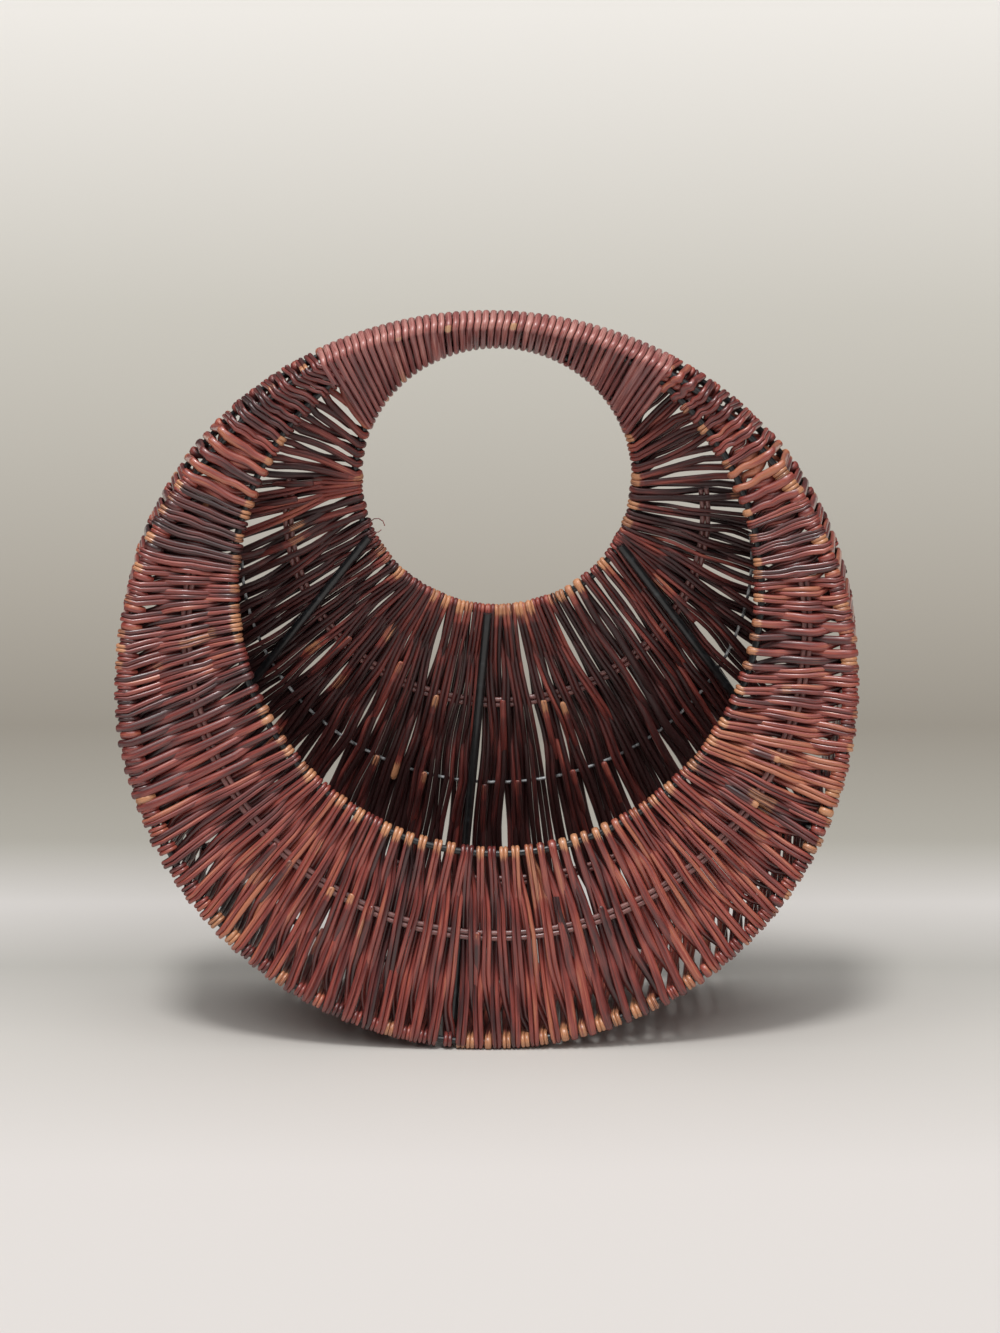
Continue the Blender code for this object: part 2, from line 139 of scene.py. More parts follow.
# Chance that a bend has lost its stain, by the degrees round the ring
MOUTH_WEAR = (
    (-144, 0.10), (-118, 0.50), (-90, 0.45), (-60, 0.30), (-40, 0.40), (-12, 0.75),
    (20, 0.85), (55, 0.65), (80, 0.60), (125, 0.65), (144, 0.10),
)
OUTER_WEAR = (
    (-151, 0.10), (-115, 0.30), (-105, 0.55), (-92, 0.50), (-80, 0.12), (-30, 0.06), (40, 0.12),
    (55, 0.45), (76, 0.45), (90, 0.12), (151, 0.15),
)
CAP_WEAR = (
    (-75, 0.10), (-25, 0.30), (-5, 0.45), (2, 0.90), (22, 0.80), (45, 0.35), (75, 0.30),
)
HAND_WEAR = (
    (-114, 0.0), (-60, 0.20), (-45, 0.25), (0, 0.45), (20, 0.75), (40, 0.75), (114, 0.1),
)

# Share of the elements that are rubbed bare where they lie on something else
RUBBED_LEGS = 0.12
RUBBED_OVER_BAND = 0.25
RUBBED_IN_BAND = 0.3

# Strands in front that are bare for some way: turn, and share of the leg from and to
LONG_WEAR = ((-88.3, 0.20, 0.50), (9.0, 0.03, 0.28), (56.7, 0.42, 0.60), (65.8, 0.42, 0.60))
LONG_BARENESS = 0.55

# Cut ends that show: turn, share of the leg at the cut and where it comes out, how bare
FRONT_CUTS = (
    (-45.7, 0.422, 0.74, 0.0), (-41.5, 0.433, 0.74, 0.45), (-32.2, 0.412, 0.70, 0.8),
    (-28.1, 0.390, 0.70, 0.7), (-23.7, 0.402, 0.70, 0.35), (-3.0, 0.411, 0.66, 0.4),
    (21.2, 0.375, 0.70, 0.0), (56.7, 0.533, 0.25, 0.9), (65.8, 0.529, 0.25, 0.9),
)
BACK_CUTS = (
    (-51.3, 0.237, 0.42, 0.4), (-32.1, 0.195, 0.40, 0.5), (-17.9, 0.241, 0.42, 0.7),
    (2.5, 0.232, 0.40, 0.3), (14.8, 0.248, 0.42, 0.8), (20.2, 0.269, 0.44, 0.8),
    (-27.8, 0.456, 0.62, 0.6), (-16.1, 0.453, 0.62, 0.6), (-22.9, 0.500, 0.26, 1.0),
    (-2.0, 0.461, 0.62, 0.3), (5.5, 0.453, 0.60, 0.3), (17.7, 0.457, 0.60, 0.3),
    (24.7, 0.470, 0.62, 0.3), (-100.2, 0.282, 0.50, 0.0), (-104.9, 0.223, 0.45, 0.0),
    (66.9, 0.353, 0.20, 0.2),
)

# A cut end: how far it stands off its sheet, its half width and half thickness in metres,
# and along its length how wide it is, round at the cut
CUT_LIFT = 0.0030
CUT_WIDTH = 0.0020
CUT_THICKNESS = 0.0014
CUT_PROFILE = (
    (0.0, 0.5), (0.12, 0.85), (0.3, 1.0), (0.5, 1.0), (0.7, 1.0), (0.86, 1.0), (0.92, 1.04),
    (0.97, 0.96), (0.992, 0.74), (1.0, 0.40),
)

# A broken strand in front: turn and share of the leg where it starts and ends, how many
# fibres it has parted into, how wide they lie, and each fibre's half width and thickness
SPLIT_START = (13.1, 0.259)
SPLIT_END = (13.5, 0.610)
SPLIT_FIBRES = 6
SPLIT_WIDTH = 0.0042
FIBRE_WIDTH = 0.00065
FIBRE_THICKNESS = 0.0005
LOOSE_STEPS = 9

# Sprung fibres at the hand ring: where on it, how far out of the ring and of the sheet,
# the curl's radius and turns, and the fibre's half thickness
CURLS = (
    (-68.0, -0.007, -0.003, 0.0052, 0.9, 0.00032),
    (-62.0, -0.001, -0.004, 0.0030, 0.6, 0.00020),
)

# How loose the knuckles are on the outer rings, in metres, by the degrees round them
FRONT_SLACK = (
    (-151, 0.0005), (-135, 0.0028), (-115, 0.0042), (-82, 0.0050), (-60, 0.0040), (-40, 0.0018),
    (0, 0.0), (30, 0.0010), (60, 0.0018), (95, 0.0022), (115, 0.0026), (135, 0.0020),
    (151, 0.0004),
)
BACK_SLACK = 0.0008
INNER_SLACK = 0.0009

# The grip: turns of cane, steps in a turn, the degrees it spans on the outer and hand rings;
# and the cane: half its thickness, its tone, how much of its pitch it fills, how flat it is
# below, and how far it lies from a wire's middle
GRIP_TURNS = 50
GRIP_SIDES = 24
GRIP_OUTER = (-153.2, -209.8)
GRIP_HAND = (-111.0, -249.0)
CANE_THICKNESS = 0.0021
CANE_TONE = 0.80
CANE_FILL = 0.95
CANE_FLATNESS = 0.35
CANE_SEAT = RING_WIRE + 0.0008

# Scratches on the grip: the turn, where they begin and end round it, and how bare they are
GRIP_WEAR = {
    5: (0.84, 0.94, 0.75),
    6: (0.80, 0.90, 0.80),
    9: (0.90, 0.99, 0.65),
    11: (0.04, 0.12, 0.70),
    18: (0.04, 0.20, 0.80),
    27: (0.06, 0.24, 0.75),
    28: (0.80, 0.90, 0.60),
    44: (0.86, 0.94, 0.55),
}


def read(rows, value, column=1):
    """The value in a column of a table of rows, between the rows on either side."""
    for first, last in zip(rows, rows[1:]):
        if value <= last[0]:
            break
    share = (value - first[0]) / (last[0] - first[0])
    return first[column] + (last[column] - first[column]) * share


def chance(rows, degrees):
    """Whether it happens here, with the chance that a table gives for this angle."""
    return HAND.random() < read(rows, degrees)


def ease(value, low, high):
    """From 0 at low to 1 at high, level at both ends."""
    share = min(max((value - low) / (high - low), 0.0), 1.0)
    return share * share * (3 - 2 * share)


def linear(hex_colour):
    """An sRGB hex colour as the linear one that shaders take."""
    parts = [int(hex_colour[place : place + 2], 16) / 255 for place in (1, 3, 5)]
    return [
        part / 12.92 if part <= 0.04045 else ((part + 0.055) / 1.055) ** 2.4 for part in parts
    ] + [1.0]


class Side:
    """The front or back of the basket, a flat sheet that leans towards the other one."""

    def __init__(self, facing, height):
        self.facing = facing
        self.sine = (BASE_DEPTH - HANDLE_DEPTH) / 2 / height
        self.cosine = math.sqrt(1 - self.sine**2)

    def way(self, x, rise, out):
        """A direction across, up and out of the sheet."""
        y = out * self.cosine - rise * self.sine
        return Vector((x, self.facing * y, rise * self.cosine + out * self.sine))

    def point(self, x, rise, out):
        """A place from its x, its rise along the sheet and how far it lies outside."""
        foot = Vector((0.0, self.facing * BASE_DEPTH / 2, FOOT_HEIGHT))
        return foot + self.way(x, rise, out)


class Ring:
    """A ring of wire or rod in one side of the basket, in degrees from its foot."""

    def __init__(self, side, half_width, half_height, rise, shift=0.0, inset=0.0):
        self.side = side
        self.half_width = half_width
        self.half_height = half_height
        self.rise = rise
        self.shift = shift
        self.inset = inset

    def place(self, degrees, grow=0.0, out=0.0):
        """Across, up and out of the sheet, on a ring that may be grown a little."""
        angle = math.radians(degrees)
        x = self.shift + (self.half_width + grow) * math.sin(angle)
        rise = self.rise - (self.half_height + grow) * math.cos(angle)
        height = (1 - math.cos(angle)) / 2
        return Vector((x, rise, out - self.inset * height**2))

    def point(self, degrees, grow=0.0, out=0.0):
        """The same place in the whole basket's frame."""
        return self.side.point(*self.place(degrees, grow, out))

    def along(self, degrees):
        """The way that the ring runs."""
        angle = math.radians(degrees)
        return self.side.way(math.cos(angle), math.sin(angle), 0.0)

    def outside(self, place):
        """Above nought outside the ring, below it inside."""
        across = (place.x - self.shift) / self.half_width
        up = (place.y - self.rise) / self.half_height
        return across**2 + up**2 - 1

    def angle_of(self, place):
        """The degrees at which a place lies."""
        across = (place.x - self.shift) / self.half_width
        up = (self.rise - place.y) / self.half_height
        return math.degrees(math.atan2(across, up))


FRONT = Side(-1, 2 * FRONT_RADIUS)
BACK = Side(1, 2 * BACK_HALF_HEIGHT)
FRONT_RING = Ring(FRONT, FRONT_RADIUS, FRONT_RADIUS, FRONT_RADIUS)
BACK_RING = Ring(BACK, BACK_HALF_WIDTH, BACK_HALF_HEIGHT, BACK_HALF_HEIGHT)
MOUTH_RING = Ring(FRONT, MOUTH_RADIUS, MOUTH_RADIUS, MOUTH_RISE, INNER_SHIFT, MOUTH_INSET)
HAND_RING = Ring(BACK, HAND_RADIUS, HAND_RADIUS, HAND_RISE, INNER_SHIFT)

# Rods and brace wire: half width, half height and rise of their curves, and their ends
FRONT_ROD = Ring(FRONT, 0.18801, 0.18801, 0.25445, INNER_SHIFT, MOUTH_INSET / 2)
BACK_ROD = Ring(BACK, 0.12856, 0.12252, 0.31404, INNER_SHIFT)
BRACE = Ring(BACK, 0.15803, 0.14807, 0.28457, INNER_SHIFT)
LOW_ROD = Ring(BACK, 0.18903, 0.18903, 0.25607, INNER_SHIFT)
FRONT_ROD_SPAN = (-102.3, 100.2)
BACK_ROD_SPAN = (-101.8, 98.9)
BRACE_SPAN = (-92.4, 97.7)
LOW_ROD_SPAN = (-77.8, 74.4)


def step(place, sideways, roll=0.0, wear=0.0, scale=1.0):
    """One step of a strand's way: above 0 its wear is bare willow, below 0 painted shade."""
    return (place, sideways, roll, wear, scale)


# Every strand takes its grain from somewhere else along this many millimetres of willow
GRAIN_RUN = 4000


class Strand:
    """A strand or wire: the places it runs through and its section at each of them."""

    def __init__(self, steps, width, thickness, tone=0.5, lane=0.0):
        self.width = width
        self.thickness = thickness
        self.tone = tone
        self.start = HAND.uniform(0, GRAIN_RUN)
        self.axes = []
        length = 0.0
        for number, (place, sideways, roll, wear, scale) in enumerate(steps):
            before = steps[max(number - 1, 0)][0]
            after = steps[min(number + 1, len(steps) - 1)][0]
            ahead = (after - before).normalized()
            across = (sideways - ahead * ahead.dot(sideways)).normalized()
            up = ahead.cross(across)
            middle = place + (across * math.cos(roll) + up * math.sin(roll)) * lane * scale
            length += (place - before).length
            self.axes.append((middle, across, up, length, wear, scale))

    def part(self, first, last):
        """A length of the strand, with the same stuff and grain."""
        piece = copy.copy(self)
        piece.axes = self.axes[first:last]
        return piece

    def corner(self, number, share):
        """Where a corner of the section lies, its place in the grain, and its wear and painted
        shade.
        """
        middle, across, up, length, wear, scale = self.axes[number]
        angle = math.tau * share
        wide = self.width * scale * math.cos(angle)
        deep = self.thickness * min(scale, THICKEST) * math.sin(angle)
        place = middle + across * wide + up * deep
        place.z = max(place.z, 0.0)
        grain = Vector((wide, deep, length)) * MILLIMETRES + Vector((self.start, 0.0, 0.0))
        # Painted shade lies on the side of a strand that faces the front, and fades out round to
        # its back
        if wear < 0:
            turned = across * math.cos(angle) + up * math.sin(angle)
            wear *= ease(-turned.y, -0.5, 0.4)
        return place, grain, wear


def draw_out(name, strands, corners, closed=False):
    """Round sections drawn out along their strands, all of them one step at a time."""
    mesh = bmesh.new()
    strand_layer = mesh.verts.layers.int.new("strand")
    corner_layer = mesh.verts.layers.int.new("corner")
    grain = mesh.verts.layers.float_vector.new("grain")
    # Bare wear above nought, painted shade below it
    wear_and_shade = mesh.verts.layers.float.new("wear_and_shade")
    tone = mesh.verts.layers.float.new("tone")
    for number, strand in enumerate(strands):
        section = bmesh.ops.create_circle(mesh, segments=corners, radius=1.0)["verts"]
        for corner, vert in enumerate(section):
            vert[strand_layer] = number
            vert[corner_layer] = corner
            vert[tone] = strand.tone
    first = list(mesh.edges)
    moving = list(mesh.verts)
    edges = first
    for number in range(len(strands[0].axes)):
        if number:
            grown = bmesh.ops.extrude_edge_only(mesh, edges=edges)["geom"]
            moving = [part for part in grown if isinstance(part, bmesh.types.BMVert)]
            edges = [part for part in grown if isinstance(part, bmesh.types.BMEdge)]
        for vert in moving:
            strand = strands[vert[strand_layer]]
            vert.co, vert[grain], vert[wear_and_shade] = strand.corner(number, vert[corner_layer] / corners)
    for face in mesh.faces:
        face.smooth = True
    if closed:
        for face in bmesh.ops.bridge_loops(mesh, edges=first + edges)["faces"]:
            face.smooth = True
    else:
        bmesh.ops.holes_fill(mesh, edges=first + edges, sides=0)
        for edge in first + edges:
            edge.smooth = False
    bmesh.ops.recalc_face_normals(mesh, faces=mesh.faces)
    for layer in ("strand", "corner"):
        mesh.verts.layers.int.remove(mesh.verts.layers.int[layer])
    data = bpy.data.meshes.new(name)
    mesh.to_mesh(data)
    mesh.free()
    return data


def add_piece(name, strands, corners, material, node=None, closed=False):
    """A finished piece of strands or wire, in the place of a solid where it has one."""
    data = draw_out(name, strands, corners, closed)
    data.materials.append(material)
    piece = bpy.data.objects.new(name, data)
    bpy.context.scene.collection.objects.link(piece)
    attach(piece, "root")
    if node:
        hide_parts(node)
    return piece


class Crossed:
    """Rods or wire that the strands pass in front of and behind by turns."""

    def __init__(self, ring, span, lift):
        self.ring = ring
        self.span = span
        self.lift = lift


class Sheet:
    """The weave between an inner and an outer ring of one side.

    first_side is the side on which an element leaves the inner ring, splay its widening
    towards the outer ring and thins what it loses of that beside the mouth, sway how far its
    legs bow, as a share of the pitch, and depth how much shade is painted deep in the pocket.
    """

    def __init__(
        self, inner, outer, fan, crossed, first_side, leg_steps, splay, thins, sway, depth
    ):
        self.side = inner.side
        self.inner = inner
        self.outer = outer
        self.fan = [((first + last) / 2, first, last) for first, last in fan]
        self.crossed = crossed
        self.first_side = first_side
        self.leg_steps = leg_steps
        self.splay, self.thins = splay, thins
        self.sway, self.depth = sway, depth

    def inner_angle(self, turn):
        """Degrees on the inner ring at a turn, which is the mean of both rings' degrees."""
        return read(self.fan, turn, 1)

    def outer_angle(self, turn):
        """Degrees on the outer ring at a turn."""
        return read(self.fan, turn, 2)

    def spot(self, turn, share):
        """A place in the sheet, at a share of the way from the inner to the outer ring."""
        first = self.inner.place(self.inner_angle(turn))
        return first.lerp(self.outer.place(self.outer_angle(turn)), share)

    def crossings(self, turn):
        """How far along a leg each rod or wire is met, from the inner ring outwards."""
        found = []
        for crossed in self.crossed:
            low, high = 0.06, 0.94
            if crossed.ring.outside(self.spot(turn, low)) > 0:
                continue
            if crossed.ring.outside(self.spot(turn, high)) < 0:
                continue
            for _ in range(16):
                middle = (low + high) / 2
                if crossed.ring.outside(self.spot(turn, middle)) < 0:
                    low = middle
                else:
                    high = middle
            angle = crossed.ring.angle_of(self.spot(turn, low))
            if crossed.span[0] < angle < crossed.span[1]:
                found.append((low, crossed.lift))
        return found

    def lifts(self, turn, side):
        """Share and lift at the inner ring, at whatever the leg meets, and at the outer ring."""
        keys = [(0.0, side * RING_WRAP)]
        over = side
        for share, lift in self.crossings(turn):
            over = -over
            keys.append((share, over * lift))
        if len(keys) == 1:
            bulge = 0.8 if side == self.first_side else -0.3
            keys.append((0.5, bulge * side * RING_WRAP))
        keys.append((1.0, side * RING_WRAP))
        return keys

    def leg(self, turn, pitch, side, slides):
        """Steps from the inner ring to the outer one. A leg that slides ends one turn on."""
        first, last = HAND.uniform(0.12, 0.38), HAND.uniform(0.15, 0.42)
        keys = self.lifts(turn + (0.5 * pitch if slides else 0.0), side)
        bows = [HAND.uniform(-self.sway, self.sway) for _ in keys]
        steps = []
        for number in range(self.leg_steps + 1):
            share = number / self.leg_steps
            offset = 0.0
            if slides:
                offset = 0.5 * ease(share, 0.0, first) + 0.5 * ease(share, 1 - last, 1.0)
            for (low, _), (high, _), bow in zip(keys, keys[1:], bows):
                if low <= share <= high:
                    offset += bow * math.sin(math.pi * (share - low) / (high - low))
            steps.append(self.leg_step(turn + offset * pitch, pitch, share, keys))
        return steps

    def leg_step(self, turn, pitch, share, keys):
        """One step: its lift over what it crosses, its roll and width there, and its painted
        shade.
        """
        lift, reach = 0.0, RING_WRAP
        for (low, start), (high, end) in zip(keys, keys[1:]):
            if low <= share <= high:
                lift = start + (end - start) * ease(share, low, high)
                reach = max(abs(start), abs(end))
        x, rise, out = self.spot(turn, share)
        ahead = self.spot(turn + 0.2 * pitch, share)
        sideways = self.side.way(ahead.x - x, ahead.y - rise, 0.0).normalized()
        roll = ROLL * (1 - min(abs(lift) / reach, 1.0))
        aside = ease(abs(turn), *BESIDE_MOUTH)
        splay = self.splay - self.thins * aside
        scale = INNER_SQUEEZE + (splay - INNER_SQUEEZE) * ease(share, 0.0, FULL_SPLAY)
        # Painted shade: darker where the strand lies behind what it crosses, and deeper in the
        # pocket, less so beside the mouth
        behind = max(-lift * self.first_side / reach, 0.0)
        inner, outer = (below - less * aside for below, less in POCKET_SHADE)
        deep = inner + (outer - inner) * ease(share, 0.0, FULL_POCKET_SHADE)
        painted_shade = PAINTED_SHADE_BEHIND * behind + self.depth * deep
        return step(self.side.point(x, rise, out + lift), sideways, roll, -painted_shade, scale)


def around(ring, degrees, first, last, number, slack=0.0):
    """Steps round a ring's wire: 0 is out of the sheet, 90 away from the ring's middle."""
    steps = []
    for count in range(number):
        angle = math.radians(first + (last - first) * count / (number - 1))
        loose = RING_WRAP + slack * abs(math.sin(angle))
        grow = loose * math.sin(angle)
        steps.append(
            step(ring.point(degrees, grow, RING_WRAP * math.cos(angle)), ring.along(degrees))
        )
    return steps


def worn_steps(steps, first, last, wear):
    """The same steps with a stretch of them worn."""
    return [
        (place, sideways, roll, wear if wear and first <= number <= last else wear_and_shade, scale)
        for number, (place, sideways, roll, wear_and_shade, scale) in enumerate(steps)
    ]


def lanes(kind, gauge):
    """How the strands of one element lie side by side: middle, half width, thickness."""
    if kind == "single":
        return [(0.0, 1.75 * gauge, 1.25 * STRAND_THICKNESS)]
    if kind == "triple":
        thin = 0.8 * STRAND_THICKNESS
        return [(lane * gauge, 0.70 * gauge, thin) for lane in (-1.35, 0.0, 1.35)]
    return [(lane * gauge, gauge, 1.1 * STRAND_THICKNESS) for lane in (-1.0, 1.0)]


def run_of_kinds(number, chances):
    """Elements come in runs, because one length of willow serves several turns."""
    kinds = []
    while len(kinds) < number:
        kind = HAND.choices(("pair", "single", "triple"), chances)[0]
        tone = HAND.betavariate(6, 5)
        kinds += [(kind, tone)] * HAND.randint(2, 5)
    return kinds[:number]


def lay_side_by_side(steps, kind, tone, gauge):
    """The strands of one element, a little unequal as split willow is."""
    strands = []
    for lane, width, thickness in lanes(kind, gauge):
        shade = min(max(tone + HAND.gauss(0, 0.13), 0.0), 1.0)
        strands.append(Strand(steps, width * HAND.uniform(0.93, 1.10), thickness, shade, lane))
    return strands


def spread(ends, counts, quarter):
    """Where the elements of one quarter lie, and how far apart."""
    pitch = (ends[quarter + 1] - ends[quarter]) / counts[quarter]
    turns = [
        ends[quarter] + (count + 0.5 + HAND.uniform(-0.08, 0.08)) * pitch
        for count in range(counts[quarter])
    ]
    return turns, pitch


def inner_loop(sheet, turn, pitch, slide, wear):
    """Steps of an element from the outer ring to the inner one, over it, and out again."""
    side = sheet.first_side
    down = sheet.leg(turn, pitch, side, False)
    back = sheet.leg(turn, slide, -side, True)
    degrees = sheet.inner_angle(turn)
    slack = HAND.uniform(0.0, INNER_SLACK)
    first, last = (225, 315) if side > 0 else (315, 225)
    cap = around(sheet.inner, degrees, first, last, 3, slack)
    steps = back[::-1] + cap + down
    middle = len(back) + 1
    if chance(wear, degrees):
        steps = worn_steps(steps, middle - 2, middle + 2, HAND.uniform(0.45, 1.0))
    if HAND.random() < RUBBED_LEGS:
        rubbed = HAND.randint(4, len(back) - 4)
        steps = worn_steps(steps, rubbed, rubbed + 1, HAND.uniform(0.3, 0.6))
    for bare, low, high in LONG_WEAR:
        if sheet is FRONT_SHEET and abs(turn - bare) < pitch / 2:
            low, high = round(low * sheet.leg_steps), round(high * sheet.leg_steps)
            up, out = len(back) - 1, len(back) + len(cap)
            steps = worn_steps(steps, up - high, up - low, LONG_BARENESS)
            steps = worn_steps(steps, out + low, out + high, LONG_BARENESS)
    return steps


def weave_back(quarter):
    """Strands of one quarter that go round the hand ring and the back ring."""
    turns, pitch = BACK_PLACES[quarter]
    kinds = run_of_kinds(len(turns), BACK_KINDS)
    strands = []
    for count, turn in enumerate(turns):
        slide = pitch if count < len(turns) - 1 else 0.6 * pitch
        steps = inner_loop(BACK_SHEET, turn, pitch, slide, HAND_WEAR)
        degrees = BACK_SHEET.outer_angle(turn)
        steps += around(BACK_RING, degrees, 144, 0, 5, BACK_SLACK * HAND.uniform(0.0, 1.0))
        strands += lay_side_by_side(steps, *kinds[count], BACK_GAUGE)
    return strands


def in_gaps(wraps, wanted):
    """Places near the wanted ones, side by side in the gaps between the wraps."""
    gaps = {}
    for degrees in wanted:
        gaps.setdefault(sum(wrap < degrees for wrap in wraps), []).append(degrees)
    places = []
    for gap, held in gaps.items():
        low = wraps[gap - 1] if gap else held[0] - 1.0
        high = wraps[gap] if gap < len(wraps) else held[-1] + 1.0
        for count, degrees in enumerate(held):
            even = low + (high - low) * (0.2 + 0.6 * (count + 0.5) / len(held))
            places.append(0.45 * even + 0.55 * degrees)
    return places


def band_point(share, front_degrees, back_degrees, grow):
    """A place of the band, outside or inside the straight line from wire to wire."""
    front = FRONT_RING.point(front_degrees, grow)
    return front.lerp(BACK_RING.point(back_degrees, grow), share)


def band_steps(shares, front_degrees, back_degrees, grow, sway=0.0):
    """Steps of the band from ring to ring. The share is 0 at the front, 1 at the back."""
    steps = []
    for share in shares:
        shift = sway * math.sin(math.pi * share)
        place = band_point(share, front_degrees + shift, back_degrees + shift, grow)
        degrees = front_degrees * (1 - share) + back_degrees * share
        sideways = FRONT_RING.along(degrees).lerp(BACK_RING.along(degrees), share)
        room = ease((BACK_RING.point(degrees) - FRONT_RING.point(degrees)).length, *BAND_ROOM)
        scale = 1 + BAND_SPREAD * room * math.sin(math.pi * share)
        steps.append(step(place, sideways.normalized(), scale=scale))
    return steps


def back_angle(front_degrees):
    """High up, a strand runs on in its own direction and meets the back ring lower down."""
    lean = BAND_LEAN * ease(abs(front_degrees), 100.0, 135.0)
    return front_degrees - math.copysign(lean, front_degrees)


def over_band(degrees, back, slack, swing):
    """Steps of a strand that has passed over the front ring, on to the back one and inside."""
    away = (FRONT_RING.point(degrees, 1.0) - FRONT_RING.point(degrees)).normalized()
    shares = (0.0, 0.16, 0.33, 0.5, 0.67, 0.83, 0.97)
    steps = [
        step(place + away * slack * (1 - share) ** 2, sideways, scale=scale)
        for share, (place, sideways, _, _, scale) in zip(
            shares, band_steps(shares, degrees, back, RING_WRAP)
        )
    ]
    steps += around(BACK_RING, back, 90, -90, 8, BACK_SLACK * HAND.uniform(0.0, 1.0))
    steps += band_steps((0.8, 0.6, 0.4, 0.2), degrees, back, -RING_WRAP, swing)
    return steps + around(FRONT_RING, degrees, 250, 180, 2)


def laced(before, degrees, back, ahead, slack):
    """Steps of a strand laced from ring to ring, outside and back inside."""
    steps = band_steps((0.5, 0.66, 0.83, 1.0), before, back, -RING_WRAP)
    steps += around(BACK_RING, back, -54, 54, 4, BACK_SLACK)
    steps += band_steps((1.0, 0.8, 0.6, 0.4, 0.2, 0.0), degrees, back, RING_WRAP)
    steps += around(FRONT_RING, degrees, 54, -54, 4, slack)
    return steps + band_steps((0.0, 0.17, 0.34, 0.5), degrees, ahead, -RING_WRAP)


def weave_front(quarter):
    """Strands of one quarter of the front, and those of the base band beside them."""
    turns, pitch = FRONT_PLACES[quarter]
    kinds = run_of_kinds(len(turns), FRONT_KINDS)
    fronts, bands = [], []
    for count, turn in enumerate(turns):
        kind, tone = kinds[count]
        slide = pitch if count < len(turns) - 1 else 0.6 * pitch
        steps = inner_loop(FRONT_SHEET, turn, pitch, slide, MOUTH_WEAR)
        degrees, knuckle = FRONT_KNUCKLES[quarter][count]
        back = BACK_KNUCKLES[quarter][count]
        slack = read(FRONT_SLACK, degrees) * HAND.uniform(0.85, 1.12)
        wear_and_shade = HAND.uniform(0.4, 1.0) if chance(OUTER_WEAR, degrees) else 0.0
        if abs(degrees) > OVER_BAND:
            steps += around(FRONT_RING, degrees, 30, 66, 5, slack)
            cut = len(steps)
            swing = FRONT_SHEET.outer_angle(turn + 0.5 * pitch) - degrees
            steps += over_band(degrees, back, slack, swing)
            steps = worn_steps(steps, cut - 3, cut + 1, wear_and_shade)
            if HAND.random() < RUBBED_OVER_BAND:
                steps = worn_steps(steps, cut + 7, cut + 11, HAND.uniform(0.4, 0.9))
            for strand in lay_side_by_side(steps, kind, tone, FRONT_GAUGE):
                fronts.append(strand.part(0, cut))
                bands.append(strand.part(cut - 1, len(steps)))
            continue
        steps += around(FRONT_RING, degrees, 36, 180, 5, slack)
        steps = worn_steps(steps, len(steps) - 5, len(steps) - 2, wear_and_shade)
        fronts += lay_side_by_side(steps, kind, tone, FRONT_GAUGE)
        slack = read(FRONT_SLACK, knuckle) * HAND.uniform(0.7, 1.05)
        before = FRONT_KNUCKLES[quarter][max(count - 1, 0)][1]
        ahead = BACK_KNUCKLES[quarter][min(count + 1, len(turns) - 1)]
        band = laced(before, knuckle, back, ahead, slack)
        if chance(CAP_WEAR, knuckle):
            band = worn_steps(band, 13, 18, HAND.uniform(0.6, 1.0))
        if HAND.random() < RUBBED_IN_BAND:
            band = worn_steps(band, 3, 8, HAND.uniform(0.4, 0.9))
        bands += lay_side_by_side(band, *HAND.choice(kinds), BAND_GAUGE)
    return fronts, bands


def cut_end(sheet, turn, cut, root, bare):
    """A thick strand that comes out of the weave and ends on the side that is seen."""
    steps = []
    for reach, scale in CUT_PROFILE:
        share = root + (cut - root) * reach
        x, rise, out = sheet.spot(turn, share)
        ahead = sheet.spot(turn + 1.0, share)
        sideways = sheet.side.way(ahead.x - x, ahead.y - rise, 0.0).normalized()
        lift = sheet.first_side * CUT_LIFT * ease(reach, 0.0, 0.6)
        # A little darker along its length, on the side that faces the front; bare willow at the
        # cut
        wear_and_shade = bare if reach > 0.8 else -0.2
        steps.append(step(sheet.side.point(x, rise, out + lift), sideways, 0.0, wear_and_shade, scale))
    return Strand(steps, CUT_WIDTH, CUT_THICKNESS, HAND.uniform(0.35, 0.6))


def split_strand():
    """Fibres of one broken strand, of unlike lengths, which part towards their ends."""
    turn, start = SPLIT_START
    last_turn, end = SPLIT_END
    fibres = []
    for count in range(SPLIT_FIBRES):
        lane = (count / (SPLIT_FIBRES - 1) - 0.5) * SPLIT_WIDTH
        last = end - abs(HAND.gauss(0.0, 0.07))
        bend = HAND.uniform(-0.0006, 0.0006)
        steps = []
        for place in range(LOOSE_STEPS + 1):
            reach = place / LOOSE_STEPS
            share = start + (last - start) * reach
            x, rise, out = FRONT_SHEET.spot(turn + (last_turn - turn) * reach, share)
            x += lane * (0.6 + 0.7 * reach) + bend * math.sin(7 * reach)
            lift = CUT_LIFT * (0.6 + 0.5 * math.sin(math.pi * reach)) + HAND.uniform(0, 0.0004)
            point = FRONT.point(x, rise, out + lift)
            # The fibres a little darker, on the side that faces the front
            steps.append(step(point, Vector((1, 0, 0)), 0.0, -0.25, 1 - reach / 2))
        fibres.append(Strand(steps, FIBRE_WIDTH, FIBRE_THICKNESS, HAND.uniform(0.0, 0.35)))
    return fibres


def curl(degrees, grow, out, radius, turns, thickness):
    """A fibre that has sprung loose at the hand ring and curls in towards the eye."""
    centre = HAND_RING.point(degrees, grow, out)
    steps = []
    for place in range(LOOSE_STEPS + 1):
        angle = math.tau * turns * place / LOOSE_STEPS
        reach = radius * (1 - 0.03 * place)
        shift = Vector((math.cos(angle), -0.02 * place, math.sin(angle)))
        steps.append(step(centre + shift * reach, Vector((0, 1, 0))))
    return Strand(steps, thickness, thickness)


